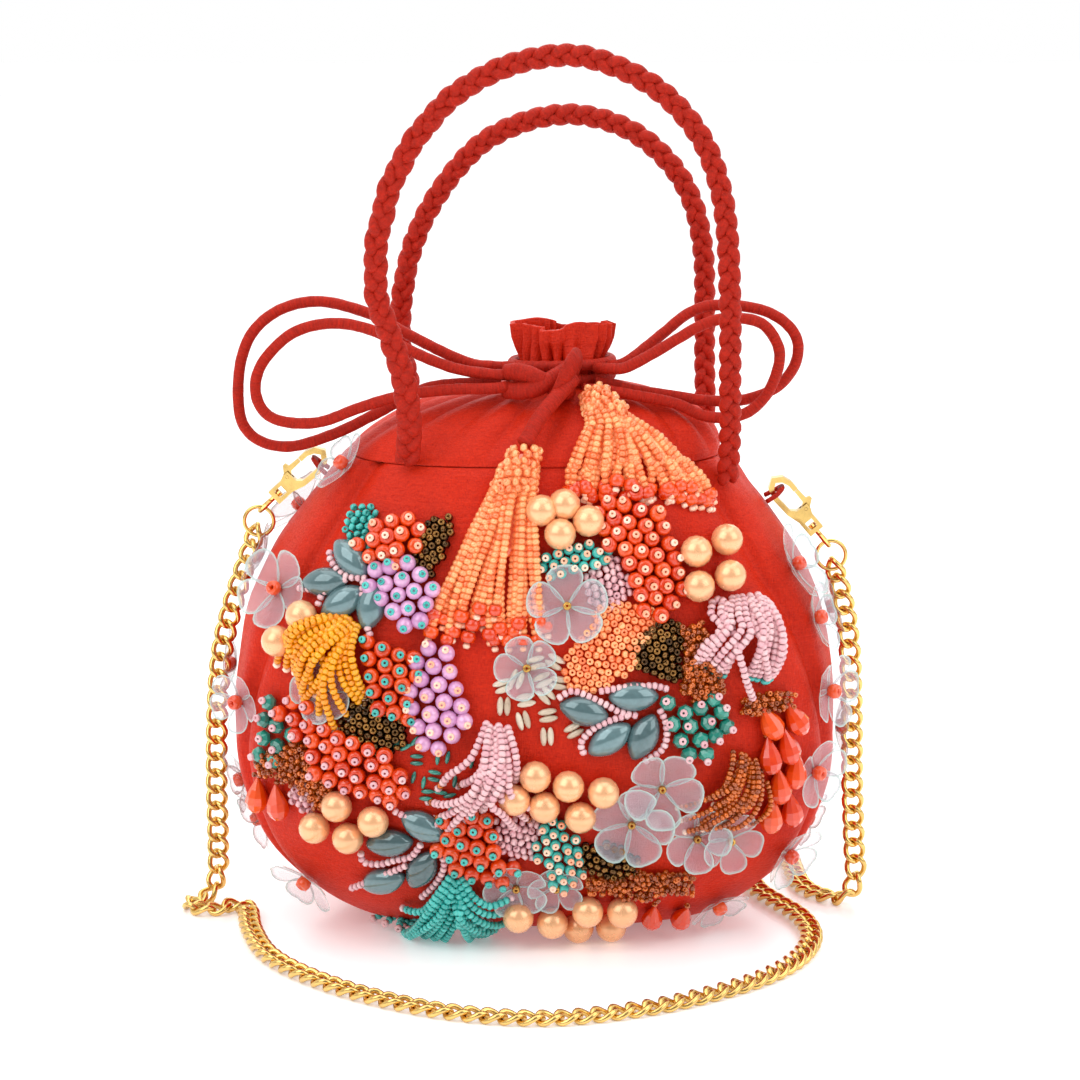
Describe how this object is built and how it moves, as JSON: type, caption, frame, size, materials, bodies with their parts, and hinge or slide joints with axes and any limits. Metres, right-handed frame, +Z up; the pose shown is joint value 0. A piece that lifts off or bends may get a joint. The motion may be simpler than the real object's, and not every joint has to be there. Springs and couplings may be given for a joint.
{
  "type": "beaded drawstring clutch bag",
  "caption": "Stuffed silk pouch drawn shut under a gathered neck, with braided handles, knotted drawstring, beaded tassels, sewn beadwork and a chain on trigger clasps.",
  "frame": {"origin": "middle of the flat spot under the pouch, on the surface that the bag stands on", "axes": "+Z up, the beaded front towards -Y, +X to the right as seen from the front"},
  "size_m": [0.2092, 0.1618, 0.2641],
  "materials": {
    "red_silk": "raw silk with slubs, semi-matt",
    "silk_cord": "sewn silk cord, matt",
    "gold_metal": "polished gold plating",
    "turquoise_beads": "glossy opaque beads",
    "coral_beads": "glossy opaque beads",
    "bronze_beads": "glossy metallic beads",
    "lilac_beads": "pearl lustre",
    "teal_beads": "glossy faceted beads",
    "amber_beads": "glossy beads",
    "peach_beads": "silver lined seed beads",
    "pink_beads": "glossy seed beads",
    "yellow_beads": "glossy seed beads"
  },
  "bodies": {
    "bag": {"amber_cluster_left": "amber_beads", "amber_cluster_right": "amber_beads", "amber_row": "amber_beads", "amber_tassel": "amber_beads", "back_handle": "silk_cord", "bow_loop_left_inner": "silk_cord", "bow_loop_left_outer": "silk_cord", "bow_loop_right_inner": "silk_cord", "bow_loop_right_outer": "silk_cord", "bronze_cluster_left": "bronze_beads", "bronze_cluster_lower": "bronze_beads", "bronze_cluster_right": "bronze_beads", "bronze_cluster_upper": "bronze_beads", "chain_ring_left": "gold_metal", "chain_ring_right": "gold_metal", "chain_strap": "gold_metal", "clasp_hook_left": "gold_metal", "clasp_hook_right": "gold_metal", "coral_barrel_cluster": "coral_beads", "coral_cluster_bottom": "coral_beads", "coral_cluster_left": "coral_beads", "coral_cluster_lower": "coral_beads", "coral_cluster_right": "coral_beads", "coral_drops_left": "coral_beads", "coral_drops_right": "coral_beads", "drawstring_knot": "silk_cord", "drawstring_wrap": "silk_cord", "fabric_tab_left": "red_silk", "fabric_tab_right": "red_silk", "front_handle": "silk_cord", "gathered_yoke": "red_silk", "left_tassel": "peach_beads", "lever_pin_left": "gold_metal", "lever_pin_right": "gold_metal", "lilac_cluster_middle": "lilac_beads", "lilac_cluster_upper": "lilac_beads", "lilac_seed_cluster": "lilac_beads", "peach_crystal_cluster": "peach_beads", "pink_seed_cluster": "pink_beads", "pink_tassel": "pink_beads", "pink_turquoise_tassel": "pink_beads", "pouch_body": "red_silk", "right_tassel": "peach_beads", "teal_cluster_left": "teal_beads", "teal_cluster_right": "teal_beads", "teal_rice_cluster": "teal_beads", "turquoise_cluster_lower": "turquoise_beads", "turquoise_cluster_upper": "turquoise_beads", "turquoise_seed_cluster": "turquoise_beads", "turquoise_tassel": "turquoise_beads", "yellow_tassel": "yellow_beads"},
    "left_lever": {"trigger_lever_left": "gold_metal"},
    "right_lever": {"trigger_lever_right": "gold_metal"},
    "left_swivel": {"swivel_eye_left": "gold_metal"},
    "right_swivel": {"swivel_eye_right": "gold_metal"}
  },
  "joints": [
    {"name": "left_lever_press", "type": "hinge", "parent": "bag", "child": "left_lever", "pos_m": [-0.07389, 0, 0.13351], "axis": [0, 1, 0], "range_deg": [0, 20], "stiffness_Nm_per_rad": 0.01, "springref_deg": -8.59},
    {"name": "right_lever_press", "type": "hinge", "parent": "bag", "child": "right_lever", "pos_m": [0.08105, 0, 0.1238], "axis": [0, -1, 0], "range_deg": [0, 20], "stiffness_Nm_per_rad": 0.01, "springref_deg": -8.59},
    {"name": "left_swivel_turn", "type": "hinge", "parent": "bag", "child": "left_swivel", "pos_m": [-0.07801, 0, 0.12707], "axis": [0.7314, 0, 0.682], "range_deg": [-25, 25]},
    {"name": "right_swivel_turn", "type": "hinge", "parent": "bag", "child": "right_swivel", "pos_m": [0.08439, 0, 0.11693], "axis": [-0.6468, 0, 0.7627], "range_deg": [-25, 25]}
  ]
}
